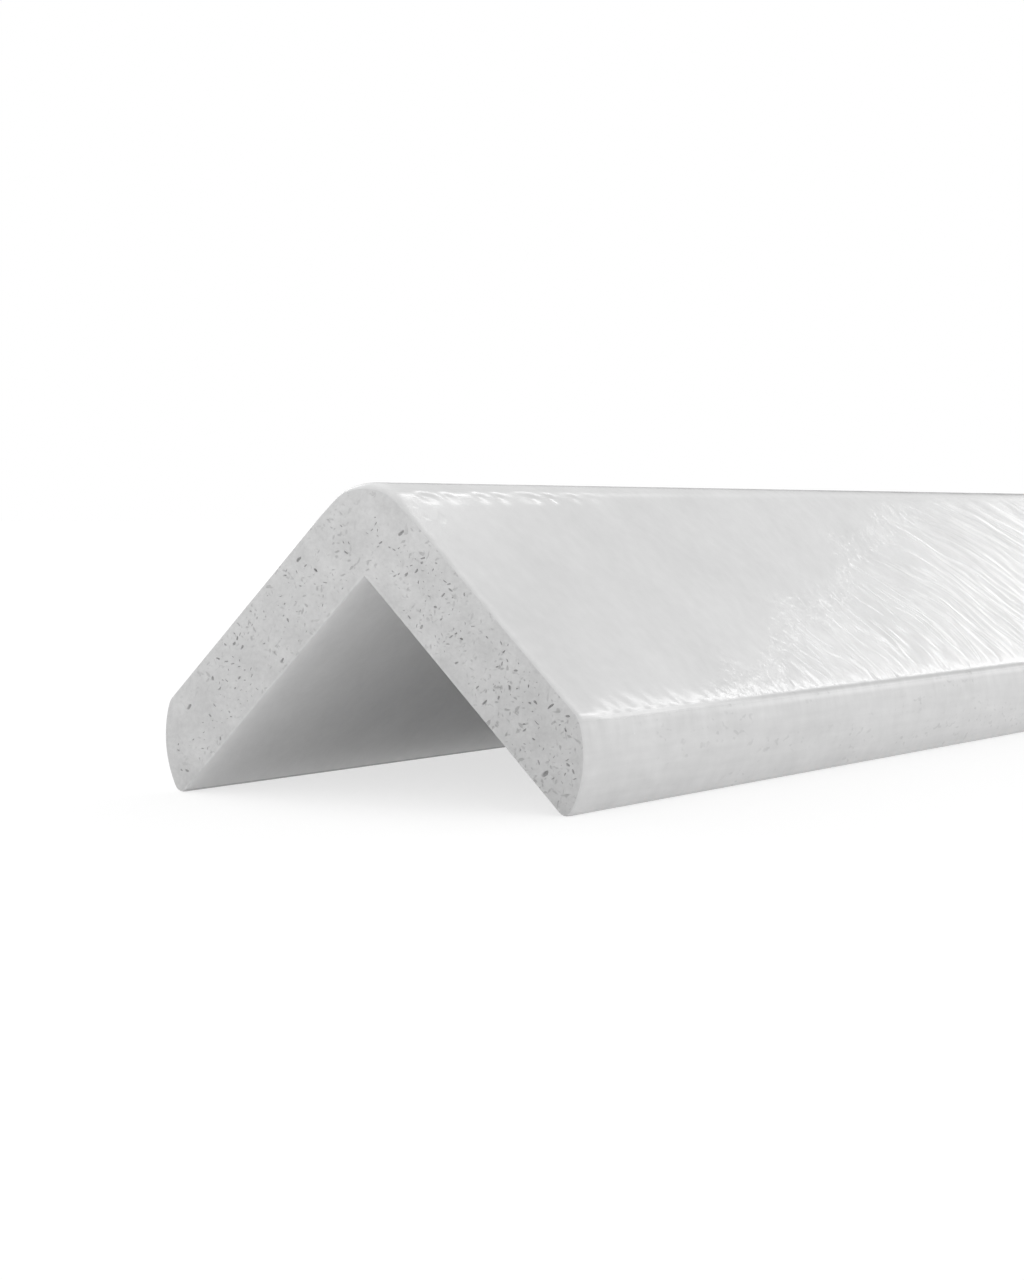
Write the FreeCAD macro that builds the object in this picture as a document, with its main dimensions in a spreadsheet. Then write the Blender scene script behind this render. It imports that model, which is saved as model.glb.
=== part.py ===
"""Foamed corner guard: an equal-legged angle of self-skinned foam, sold by the metre.

The guard is one extruded piece. Its section is a right angle with two equal legs of constant wall,
a well-rounded outer corner and a sharp inner corner that closes on the corner of a wall. Each leg
ends in a slanted, crowned face: it leaves the outer face at a soft shoulder, bulges outwards a
little and runs down to a narrow rounded lip beside the inner face.

The section is drawn with its legs along X and Z and its virtual outer corner at the sketch origin.
The body is then turned so that the guard stands like a tent on its two lips, with its length
along Y. The origin of the part is on the floor, midway between the lips and between the cut ends.
"""

import FreeCAD
import Part
import Sketcher

import math
import os

# Driving dimensions in millimetres: alias, value, what it measures.
SIZES = [
    ("stock_length", 1000.0, "length of the stock between its two square cuts"),
    ("leg_width", 60.0, "virtual outer corner to the outermost line of a leg's end"),
    ("wall", 12.0, "thickness of a leg, square to its faces"),
    ("corner_round", 7.5, "radius of the outer corner"),
    ("end_setback", 8.8, "how far the shoulder lies back from the leg's outermost line"),
    ("end_crown", 17.0, "radius of the crowned face at a leg's end"),
    ("shoulder_round", 3.0, "radius that softens the shoulder of a leg's end"),
    ("lip_round", 1.4, "radius of the narrow lip beside the inner face"),
]
# The guard stands with each leg sloping by half a right angle.
LEG_SLOPE = 45.0
# How near, in millimetres, an edge's ends have to lie to the point that it is looked for at.
PLACE_TOLERANCE = 1e-4
# A sketch's numbers for the points of a line or arc, and for the sketch's own origin.
START, END, CENTRE = 1, 2, 3
ORIGIN = -1

document = FreeCAD.newDocument("corner_guard")


def make_sheet():
    """Writes the driving dimensions to a spreadsheet, one row for each."""
    sheet = document.addObject("Spreadsheet::Sheet", "Sizes")
    for row, (alias, value, words) in enumerate(SIZES, start=1):
        sheet.set(f"A{row}", words)
        sheet.set(f"B{row}", str(value))
        sheet.setAlias(f"B{row}", alias)
    document.recompute()
    return sheet


def origin_plane(body, role):
    """The body's own origin plane with that role."""
    return next(plane for plane in body.Origin.OriginFeatures if plane.Role == role)


def crown_centre(sheet):
    """Centre of the crowned end of the leg along X.

    The crown passes through the shoulder and touches the round of the lip from outside, so its
    centre lies one crown radius from the shoulder and that less one lip radius from the lip's centre.
    """
    shoulder_x = sheet.leg_width - sheet.end_setback
    lip_x, lip_y = sheet.leg_width - sheet.lip_round, sheet.wall - sheet.lip_round
    from_shoulder, from_lip = sheet.end_crown, sheet.end_crown - sheet.lip_round
    span = math.hypot(lip_x - shoulder_x, lip_y)
    along = (from_shoulder**2 - from_lip**2 + span**2) / (2 * span)
    across = math.sqrt(from_shoulder**2 - along**2)
    step_x, step_y = (lip_x - shoulder_x) / span, lip_y / span
    return shoulder_x + along * step_x - across * step_y, along * step_y + across * step_x


def draw_section(body, sheet):
    """Draws the closed section of the guard as a fully constrained sketch."""
    width, wall = sheet.leg_width, sheet.wall
    setback, crown, lip = sheet.end_setback, sheet.end_crown, sheet.lip_round
    lip_x, lip_y = width - lip, wall - lip
    crown_x, crown_y = crown_centre(sheet)
    crown_from = math.atan2(-crown_y, width - setback - crown_x)
    crown_to = math.atan2(lip_y - crown_y, lip_x - crown_x)

    sketch = body.newObject("Sketcher::SketchObject", "Section")
    sketch.AttachmentSupport = (origin_plane(body, "XZ_Plane"), [""])
    sketch.MapMode = "FlatFace"

    def point(x, y):
        return FreeCAD.Vector(x, y, 0)

    def line(a, b):
        return sketch.addGeometry(Part.LineSegment(point(*a), point(*b)), False)

    def arc(centre, radius, first, last):
        circle = Part.Circle(point(*centre), FreeCAD.Vector(0, 0, 1), radius)
        return sketch.addGeometry(Part.ArcOfCircle(circle, first, last), False)

    quarter = math.pi / 2
    outer_a = line((0, 0), (width - setback, 0))
    crown_a = arc((crown_x, crown_y), crown, crown_from, crown_to)
    lip_a = arc((lip_x, lip_y), lip, crown_to, quarter)
    inner_a = line((lip_x, wall), (wall, wall))
    inner_b = line((wall, wall), (wall, lip_x))
    lip_b = arc((lip_y, lip_x), lip, 0, quarter - crown_to)
    crown_b = arc((crown_y, crown_x), crown, quarter - crown_to, quarter - crown_from)
    outer_b = line((0, width - setback), (0, 0))

    def hold(kind, *places):
        return sketch.addConstraint(Sketcher.Constraint(kind, *places))

    hold("Coincident", outer_a, START, ORIGIN, START)
    hold("Coincident", outer_b, END, ORIGIN, START)
    hold("Coincident", outer_a, END, crown_a, START)
    hold("Tangent", crown_a, END, lip_a, START)
    hold("Tangent", lip_a, END, inner_a, START)
    hold("Coincident", inner_a, END, inner_b, START)
    hold("Tangent", inner_b, END, lip_b, START)
    hold("Tangent", lip_b, END, crown_b, START)
    hold("Coincident", crown_b, END, outer_b, START)
    hold("Horizontal", outer_a)
    hold("Horizontal", inner_a)
    hold("Vertical", inner_b)
    hold("Vertical", outer_b)

    def size(name, kind, places, value, formula):
        number = sketch.addConstraint(Sketcher.Constraint(kind, *places, value))
        sketch.renameConstraint(number, name)
        sketch.setExpression(f"Constraints.{name}", formula)

    shoulder_formula = "Sizes.leg_width - Sizes.end_setback"
    lip_formula = "Sizes.leg_width - Sizes.lip_round"
    size("wall_a", "DistanceY", (ORIGIN, START, inner_a, END), wall, "Sizes.wall")
    size("wall_b", "DistanceX", (ORIGIN, START, inner_a, END), wall, "Sizes.wall")
    size("shoulder_a", "DistanceX", (ORIGIN, START, outer_a, END), width - setback, shoulder_formula)
    size("shoulder_b", "DistanceY", (ORIGIN, START, outer_b, START), width - setback, shoulder_formula)
    size("lip_place_a", "DistanceX", (ORIGIN, START, lip_a, CENTRE), lip_x, lip_formula)
    size("lip_place_b", "DistanceY", (ORIGIN, START, lip_b, CENTRE), lip_x, lip_formula)
    size("lip_round_a", "Radius", (lip_a,), lip, "Sizes.lip_round")
    size("lip_round_b", "Radius", (lip_b,), lip, "Sizes.lip_round")
    size("end_crown_a", "Radius", (crown_a,), crown, "Sizes.end_crown")
    size("end_crown_b", "Radius", (crown_b,), crown, "Sizes.end_crown")
    document.recompute()
    if not sketch.FullyConstrained:
        raise RuntimeError("the section sketch is not fully constrained")
    return sketch


def extrude(body, sketch):
    """Carries the section along the length, half of it to each side of the origin."""
    pad = body.newObject("PartDesign::Pad", "Stock")
    pad.Profile = sketch
    pad.SideType = "Symmetric"
    pad.setExpression("Length", "Sizes.stock_length")
    sketch.Visibility = False
    document.recompute()
    return pad


def long_edge(feature, x, z):
    """Name of the feature's edge that runs along the length through section point x, z."""
    for number, edge in enumerate(feature.Shape.Edges, start=1):
        ends = [vertex.Point for vertex in edge.Vertexes]
        if len(ends) == 2 and all(math.hypot(p.x - x, p.z - z) < PLACE_TOLERANCE for p in ends):
            return f"Edge{number}"
    raise RuntimeError(f"no edge runs along the length at {x}, {z}")


def soften(body, base, name, alias, places):
    """Rounds the long edges at the given section points with the named radius."""
    fillet = body.newObject("PartDesign::Fillet", name)
    fillet.Base = (base, [long_edge(base, x, z) for x, z in places])
    fillet.setExpression("Radius", f"Sizes.{alias}")
    document.recompute()
    if fillet.Shape.Volume >= base.Shape.Volume:
        raise RuntimeError(f"{name} took nothing off")
    return fillet


def stand_up(body):
    """Turns the guard onto its two lips, with the lips' lowest lines on the floor."""
    body.Placement = FreeCAD.Placement(
        FreeCAD.Vector(0, 0, 0), FreeCAD.Rotation(FreeCAD.Vector(0, 1, 0), 180 - LEG_SLOPE)
    )
    height = "(Sizes.leg_width + Sizes.wall - 2 * Sizes.lip_round)"
    body.setExpression("Placement.Base.z", f"{height} * sin({LEG_SLOPE}) + Sizes.lip_round")
    document.recompute()


def make_guard():
    """The whole guard as one body."""
    sheet = make_sheet()
    body = document.addObject("PartDesign::Body", "CornerGuard")
    body.Label = "corner_guard"
    stock = extrude(body, draw_section(body, sheet))
    corner = soften(body, stock, "CornerRounding", "corner_round", [(0, 0)])
    shoulder = sheet.leg_width - sheet.end_setback
    shoulders = [(shoulder, 0), (0, shoulder)]
    soften(body, corner, "ShoulderRounding", "shoulder_round", shoulders)
    stand_up(body)
    return [body]


def check(bodies):
    """Stops the build if any object failed or a body isn't one valid closed solid."""
    for thing in document.Objects:
        if "Invalid" in thing.State or "Error" in thing.State:
            raise RuntimeError(f"{thing.Label} failed: {thing.State}")
    for body in bodies:
        shape = body.Shape
        if shape.isNull() or not shape.isValid() or len(shape.Solids) != 1:
            raise RuntimeError(f"{body.Label} is not one valid solid")


def write(bodies):
    """Writes each body to a STEP file named by its label, and prints its main facts."""
    os.makedirs("parts", exist_ok=True)
    for body in bodies:
        shape = body.Shape
        shape.exportStep(f"parts/{body.Label}.step")
        box = shape.BoundBox
        print(body.Label, "volume", round(shape.Volume, 1), "faces", len(shape.Faces))
        print("x", round(box.XMin, 3), round(box.XMax, 3), "y", box.YMin, box.YMax)
        print("z", round(box.ZMin, 4), round(box.ZMax, 3))


guards = make_guard()
check(guards)
write(guards)
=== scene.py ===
"""Looks of one length of foamed corner guard, standing like a tent on its two lips.

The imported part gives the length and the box. The scene repeats the part's section in metres and
carries it along the length as a skin. The skin gets the ripples and crinkles that it drew as it set
in the mould, and each end is closed by a cut that shows the foam with its open pores. Three finishes
dress the piece: satin skin outside, dull skin on the back and bare foam on the cuts.
"""

import logging
import math
from dataclasses import dataclass
from enum import Enum, IntEnum

import bmesh
import bpy
import numpy as np
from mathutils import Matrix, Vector


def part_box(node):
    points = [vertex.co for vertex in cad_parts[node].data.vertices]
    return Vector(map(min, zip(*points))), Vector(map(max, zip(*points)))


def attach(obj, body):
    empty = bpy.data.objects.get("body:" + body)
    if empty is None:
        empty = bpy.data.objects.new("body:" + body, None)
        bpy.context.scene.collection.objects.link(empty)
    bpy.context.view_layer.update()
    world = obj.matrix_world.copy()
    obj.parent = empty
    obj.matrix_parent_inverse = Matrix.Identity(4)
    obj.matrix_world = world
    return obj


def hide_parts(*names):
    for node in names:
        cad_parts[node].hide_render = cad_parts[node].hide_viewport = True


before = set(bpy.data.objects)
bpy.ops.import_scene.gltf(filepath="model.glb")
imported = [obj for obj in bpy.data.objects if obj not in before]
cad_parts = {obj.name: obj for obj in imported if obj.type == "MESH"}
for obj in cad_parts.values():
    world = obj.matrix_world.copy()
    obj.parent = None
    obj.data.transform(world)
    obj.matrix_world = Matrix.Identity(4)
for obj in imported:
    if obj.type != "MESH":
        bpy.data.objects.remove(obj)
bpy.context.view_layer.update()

BODY = "root"
NODE = "corner_guard"
PIECE = "corner_guard_moulding"
MM = 0.001
WELD = 0.004 * MM

# Span of a noise's values that is stretched to the whole range from 0 to 1
SPAN = (0.3, 0.7)

log = logging.getLogger("corner_guard")

Socket = bpy.types.NodeSocket
Value = float | int | bool | str | tuple | Socket | bpy.types.Material


class Zone(IntEnum):
    """What a face of the skin is, which picks its finish."""

    OUTSIDE = 0
    BACK = 1


class Cut(Enum):
    """The two cuts: the way that each one faces along the length."""

    FRONT = -1
    REAR = 1


@dataclass(frozen=True)
class SectionSizes:
    """Driving sizes of the guard's section, in metres, the same as the part's."""

    leg_width: float = 60.0 * MM
    wall: float = 12.0 * MM
    corner_round: float = 7.5 * MM
    end_setback: float = 8.8 * MM
    end_crown: float = 17.0 * MM
    shoulder_round: float = 3.0 * MM
    lip_round: float = 1.4 * MM


def arc(centre: tuple, radius: float, start: float, stop: float, step: float) -> np.ndarray:
    """Points along an arc, without its last point.

    Args:
        centre: Centre of the arc.
        radius: Radius of the arc.
        start: Angle of the first point.
        stop: Angle that the arc ends at.
        step: Largest distance between two points.

    Returns:
        The points, one in each row.
    """
    count = max(3, math.ceil(radius * abs(stop - start) / step))
    angles = np.linspace(start, stop, count, endpoint=False)
    return np.stack([centre[0] + radius * np.cos(angles), centre[1] + radius * np.sin(angles)], axis=1)


def line(start: tuple, stop: tuple, step: float) -> np.ndarray:
    """Points along a straight line, without its last point.

    Args:
        start: First point.
        stop: Point that the line ends at.
        step: Largest distance between two points.

    Returns:
        The points, one in each row.
    """
    count = max(1, math.ceil(math.dist(start, stop) / step))
    return np.linspace(start, stop, count, endpoint=False)


@dataclass(frozen=True)
class Section:
    """Outline of the guard's section, seen along the length.

    One leg is drawn with its length along the first axis and its wall along the second, both
    starting at the virtual outer corner. The other leg is its mirror image. The steps say how far
    apart the outline's points lie on the flats, the rounds, the shoulder and the back, and the
    crease's share says how far down the shoulder's round it runs.
    """

    sizes: SectionSizes = SectionSizes()
    flat_step: float = 0.85 * MM
    round_step: float = 0.42 * MM
    shoulder_step: float = 0.30 * MM
    back_step: float = 6.0 * MM
    crease_share: float = 0.75

    @property
    def lip_centre(self) -> tuple[float, float]:
        """Centre of the lip's round."""
        return (self.sizes.leg_width - self.sizes.lip_round, self.sizes.wall - self.sizes.lip_round)

    @property
    def crown_centre(self) -> tuple[float, float]:
        """Centre of the crown, which passes through the shoulder and touches the lip's round.

        Returns:
            The centre as (along the leg, into the wall).
        """
        sizes, lip = self.sizes, self.lip_centre
        shoulder = sizes.leg_width - sizes.end_setback
        from_shoulder, from_lip = sizes.end_crown, sizes.end_crown - sizes.lip_round
        span = math.hypot(lip[0] - shoulder, lip[1])
        along = (from_shoulder**2 - from_lip**2 + span**2) / (2 * span)
        across = math.sqrt(from_shoulder**2 - along**2)
        step = ((lip[0] - shoulder) / span, lip[1] / span)
        return (shoulder + along * step[0] - across * step[1], along * step[1] + across * step[0])

    @property
    def shoulder_centre(self) -> tuple[float, float]:
        """Centre of the shoulder's round, which touches the outer face and the crown.

        Returns:
            The centre as (along the leg, into the wall).
        """
        sizes, crown = self.sizes, self.crown_centre
        inside, rise = sizes.end_crown - sizes.shoulder_round, sizes.shoulder_round - crown[1]
        return (crown[0] + math.sqrt(inside**2 - rise**2), sizes.shoulder_round)

    @property
    def crown_angles(self) -> tuple[float, float]:
        """Angles at which the crown starts at the shoulder's round and ends at the lip's.

        Returns:
            The angles about the crown's centre.
        """
        crown, shoulder, lip = self.crown_centre, self.shoulder_centre, self.lip_centre
        return (
            math.atan2(shoulder[1] - crown[1], shoulder[0] - crown[0]),
            math.atan2(lip[1] - crown[1], lip[0] - crown[0]),
        )

    @property
    def corner_height(self) -> float:
        """Height of the virtual outer corner above the floor."""
        return sum(self.lip_centre) * math.sqrt(0.5) + self.sizes.lip_round

    @property
    def corner_length(self) -> float:
        """Length of the outline from the ridge to the end of the corner's round."""
        return self.sizes.corner_round * math.pi / 4

    @property
    def shoulder_length(self) -> float:
        """Length of the outline from the ridge to the start of the shoulder's round."""
        return self.corner_length + self.shoulder_centre[0] - self.sizes.corner_round

    @property
    def crown_length(self) -> float:
        """Length of the outline from the ridge to the start of the crown."""
        return self.shoulder_length + self.sizes.shoulder_round * (self.crown_angles[0] + math.pi / 2)

    @property
    def crease_length(self) -> float:
        """Length of the outline from the ridge to the crease, low in the shoulder's round."""
        return (1 - self.crease_share) * self.shoulder_length + self.crease_share * self.crown_length

    @property
    def lip_length(self) -> float:
        """Length of the outline from the ridge to the start of the lip's round."""
        start, stop = self.crown_angles
        return self.crown_length + self.sizes.end_crown * (stop - start)

    def half(self) -> tuple[np.ndarray, np.ndarray]:
        """Outline of one leg from the ridge of the outer corner to the inner corner.

        Returns:
            The points as (along the leg, into the wall), and for each point whether the stretch
            that starts there belongs to the back.
        """
        sizes, lip, shoulder = self.sizes, self.lip_centre, self.shoulder_centre
        crown_from, crown_to = self.crown_angles
        corner = (sizes.corner_round, sizes.corner_round)
        downward = -math.pi / 2
        outside = [
            arc(corner, sizes.corner_round, downward - math.pi / 4, downward, self.round_step),
            line((corner[0], 0.0), (shoulder[0], 0.0), self.flat_step),
            arc(shoulder, sizes.shoulder_round, downward, crown_from, self.shoulder_step),
            arc(self.crown_centre, sizes.end_crown, crown_from, crown_to, self.flat_step),
            arc(lip, sizes.lip_round, crown_to, math.pi / 2, self.round_step),
        ]
        back = [line((lip[0], sizes.wall), (sizes.wall, sizes.wall), self.back_step)]
        back.append(np.array([[sizes.wall, sizes.wall]]))
        points = np.vstack(outside + back)
        return points, np.arange(len(points)) >= sum(len(part) for part in outside)

    def place(self, points: np.ndarray, side: np.ndarray | int) -> np.ndarray:
        """Turns points of one leg to where the leg stands.

        Args:
            points: Points as (along the leg, into the wall).
            side: 1 for the leg on the +X side, -1 for the other.

        Returns:
            The points as (x, z), in metres above the floor.
        """
        slope = math.sqrt(0.5)
        across = side * (points[:, 0] - points[:, 1]) * slope
        return np.stack([across, self.corner_height - points.sum(axis=1) * slope], axis=1)

    def loop(self) -> tuple[np.ndarray, np.ndarray, np.ndarray]:
        """The whole outline as a loop that starts at the ridge and goes down the +X leg first.

        Returns:
            The points as (x, z), the length of the outline from the ridge to each of them, negative
            on the leg at -X, and for each point whether the stretch after it is the back.
        """
        points, back = self.half()
        gone = np.concatenate([[0.0], np.cumsum(np.linalg.norm(np.diff(points, axis=0), axis=1))])
        right, left = self.place(points, 1), self.place(points, -1)
        outline = np.vstack([right, left[-2:0:-1]])
        around = np.concatenate([gone, -gone[-2:0:-1]])
        return outline, around, np.concatenate([back, back[-3::-1], back[:1]])[: len(outline)]


class NodeSheet:
    """Adds nodes to one node tree, geometry or shader, so that each formula stays readable."""

    def __init__(self, tree: bpy.types.NodeTree) -> None:
        """Keeps the tree.

        Args:
            tree: The tree to add to.
        """
        self.tree = tree

    def put(self, socket: Socket, value: Value) -> None:
        """Gives one input a value or a link.

        Args:
            socket: The input.
            value: A number, colour, name or other socket.
        """
        if isinstance(value, Socket):
            self.tree.links.new(value, socket)
        else:
            socket.default_value = value

    def add(self, kind: str, values: dict[str, Value] | None = None, **settings: object) -> bpy.types.Node:
        """Adds one node.

        Args:
            kind: The node's type.
            values: What each named input gets.
            settings: Properties of the node, set before its sockets are looked up.

        Returns:
            The node.
        """
        node = self.tree.nodes.new(kind)
        for name, setting in settings.items():
            setattr(node, name, setting)
        for name, value in (values or {}).items():
            self.put(next(s for s in node.inputs if s.name == name and s.enabled), value)
        return node

    def out(self, kind: str, values: dict[str, Value] | None = None, **settings: object) -> Socket:
        """Adds one node and gives its first enabled output.

        Args:
            kind: The node's type.
            values: What each named input gets.
            settings: Properties of the node.

        Returns:
            That output.
        """
        return next(s for s in self.add(kind, values, **settings).outputs if s.enabled)

    def _listed(self, kind: str, operation: str, values: tuple[Value, ...]) -> Socket:
        """A node whose inputs are given in order, and its first enabled output.

        Args:
            kind: The node's type.
            operation: Its operation.
            values: What its inputs get.

        Returns:
            That output.
        """
        node = self.tree.nodes.new(kind)
        node.operation = operation
        for socket, value in zip(node.inputs, values):
            self.put(socket, value)
        return next(s for s in node.outputs if s.enabled)

    def math(self, operation: str, *values: Value) -> Socket:
        """The result of a Math node."""
        return self._listed("ShaderNodeMath", operation, values)

    def vectors(self, operation: str, *values: Value) -> Socket:
        """The result of a Vector Math node."""
        return self._listed("ShaderNodeVectorMath", operation, values)

    def times(self, *values: Value) -> Socket:
        """Multiplies numbers.

        Args:
            values: Two or more numbers.

        Returns:
            Their product.
        """
        result = values[0]
        for value in values[1:]:
            result = self.math("MULTIPLY", result, value)
        return result

    def plus(self, *values: Value) -> Socket:
        """Adds numbers.

        Args:
            values: Two or more numbers.

        Returns:
            Their sum.
        """
        result = values[0]
        for value in values[1:]:
            result = self.math("ADD", result, value)
        return result

    def scaled(self, vector: Value, factor: Value) -> Socket:
        """A vector times a number."""
        return self.out("ShaderNodeVectorMath", {"Vector": vector, "Scale": factor}, operation="SCALE")

    def vector(self, x: Value, y: Value, z: Value) -> Socket:
        """A vector from three numbers."""
        return self.out("ShaderNodeCombineXYZ", {"X": x, "Y": y, "Z": z})

    def axis(self, vector: Value, name: str) -> Socket:
        """One of the three numbers of a vector, named X, Y or Z."""
        return self.add("ShaderNodeSeparateXYZ", {"Vector": vector}).outputs[name]

    def ramp(self, value: Value, start: Value, stop: Value, low: Value = 0.0, high: Value = 1.0) -> Socket:
        """A number that goes smoothly from low to high as value goes from start to stop.

        Args:
            value: The number that is read.
            start: Where the change begins.
            stop: Where it ends.
            low: Result at and before start.
            high: Result at and past stop.

        Returns:
            The result.
        """
        values = {"Value": value, "From Min": start, "From Max": stop, "To Min": low, "To Max": high}
        return self.out("ShaderNodeMapRange", values, interpolation_type="SMOOTHSTEP")

    def bump(self, value: Value, centre: Value, reach: Value) -> Socket:
        """A number that is 1 where value meets centre and falls smoothly to 0 at reach from it."""
        away = self.math("ABSOLUTE", self.math("SUBTRACT", value, centre))
        return self.ramp(away, 0.0, reach, 1.0, 0.0)

    def noise(self, vector: Value, scale: Value, detail: float = 2.0) -> Socket:
        """A noise texture's value, about one half on average.

        Args:
            vector: Where it is read.
            scale: How many of its features lie along one unit.
            detail: How many finer layers it has.

        Returns:
            The result.
        """
        values = {"Vector": vector, "Scale": scale, "Detail": detail}
        return self.out("ShaderNodeTexNoise", values, noise_dimensions="3D")

    def jitter(self, vector: Value, scale: Value, detail: float = 1.0) -> Socket:
        """A noise texture's value, about zero on average."""
        return self.math("SUBTRACT", self.noise(vector, scale, detail), 0.5)


class GeometryTool:
    """A Geometry Nodes tree that is run once on an object and leaves a plain mesh."""

    def __init__(
        self, name: str, numbers: dict[str, float], materials: dict[str, bpy.types.Material]
    ) -> None:
        """Makes the tree with its named inputs.

        Args:
            name: The tree's name.
            numbers: The value of each named number.
            materials: The material for each named material input.
        """
        self.tree = bpy.data.node_groups.new(name, "GeometryNodeTree")
        self.values = {**numbers, **materials}
        sockets = self.tree.interface
        sockets.new_socket("Geometry", in_out="OUTPUT", socket_type="NodeSocketGeometry")
        sockets.new_socket("Geometry", in_out="INPUT", socket_type="NodeSocketGeometry")
        for label, number in numbers.items():
            kind = "NodeSocketInt" if isinstance(number, int) else "NodeSocketFloat"
            sockets.new_socket(label, in_out="INPUT", socket_type=kind)
        for label in materials:
            sockets.new_socket(label, in_out="INPUT", socket_type="NodeSocketMaterial")
        self.sheet = NodeSheet(self.tree)
        self.given = self.sheet.add("NodeGroupInput").outputs

    def finish(self, geometry: Socket, materials: list[tuple[str, Value]]) -> None:
        """Ends the tree in Realize Instances and Set Material.

        Args:
            geometry: What the tree has made.
            materials: Name of each material input and the faces that get it, in order.
        """
        geometry = self.sheet.out("GeometryNodeRealizeInstances", {"Geometry": geometry})
        for label, faces in materials:
            values = {"Geometry": geometry, "Material": self.given[label], "Selection": faces}
            geometry = self.sheet.out("GeometryNodeSetMaterial", values)
        self.sheet.add("NodeGroupOutput", {"Geometry": geometry})

    def run(self, thing: bpy.types.Object) -> None:
        """Replaces the object's mesh with what the tree makes of it.

        Args:
            thing: The object, which has no modifiers before and after.
        """
        modifier = thing.modifiers.new(self.tree.name, "NODES")
        modifier.node_group = self.tree
        for item in self.tree.interface.items_tree:
            if item.in_out == "INPUT" and item.name in self.values:
                modifier[item.identifier] = self.values[item.name]
        depsgraph = bpy.context.evaluated_depsgraph_get()
        made = bpy.data.meshes.new_from_object(thing.evaluated_get(depsgraph), depsgraph=depsgraph)
        thing.modifiers.remove(modifier)
        plain = thing.data
        thing.data = made
        bpy.data.meshes.remove(plain)

    def attribute(self, name: str) -> Socket:
        """The value of a named attribute of the mesh."""
        return self.sheet.out("GeometryNodeInputNamedAttribute", {"Name": name}, data_type="FLOAT")

    def position(self) -> Socket:
        """The place of the point that is worked on."""
        return self.sheet.out("GeometryNodeInputPosition")


def new_object(name: str, mesh: bpy.types.Mesh) -> bpy.types.Object:
    """Makes an object at the world's origin.

    Args:
        name: Its name.
        mesh: What it shows.

    Returns:
        The object.
    """
    made = bpy.data.objects.new(name, mesh)
    bpy.context.scene.collection.objects.link(made)
    return made


def store(mesh: bpy.types.Mesh, name: str, domain: str, numbers: np.ndarray) -> None:
    """Writes one named attribute of plain numbers.

    Args:
        mesh: The mesh that gets it.
        name: Its name.
        domain: What it is kept for, POINT or FACE.
        numbers: One number for each element.
    """
    attribute = mesh.attributes.new(name, "FLOAT", domain)
    attribute.data.foreach_set("value", np.asarray(numbers, np.float32))


class SkinPlace:
    """Where a point of the skin lies, as values of the node tree that reads it."""

    def __init__(self, sheet: NodeSheet, section: Section, around: Value, along: Value) -> None:
        """Keeps the values and works out the ones that follow from them.

        Args:
            sheet: Where the nodes go.
            section: The guard's section.
            around: Length along the outline from the ridge, negative on the leg at -X.
            along: Distance from the front cut.
        """
        self.sheet, self.section, self.around, self.along = sheet, section, around, along
        self.down = sheet.math("ABSOLUTE", around)
        self.side = sheet.math("SIGN", around)

    def noise(self, along_scale: float, around_scale: float, detail: float = 2.0) -> Socket:
        """Noise on the skin, about one half on average.

        Args:
            along_scale: How many of its features lie along one metre of the length.
            around_scale: The same around the outline.
            detail: How many finer layers it has.

        Returns:
            The noise.
        """
        along = self.sheet.times(self.along, along_scale)
        around = self.sheet.times(self.around, around_scale)
        return self.sheet.noise(self.sheet.vector(along, around, 0.0), 1.0, detail)

    def unevenness(self, along_scale: float, around_scale: float) -> Socket:
        """The same noise with three finer layers, about zero on average."""
        return self.sheet.math("SUBTRACT", self.noise(along_scale, around_scale, 3.0), 0.5)


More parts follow.
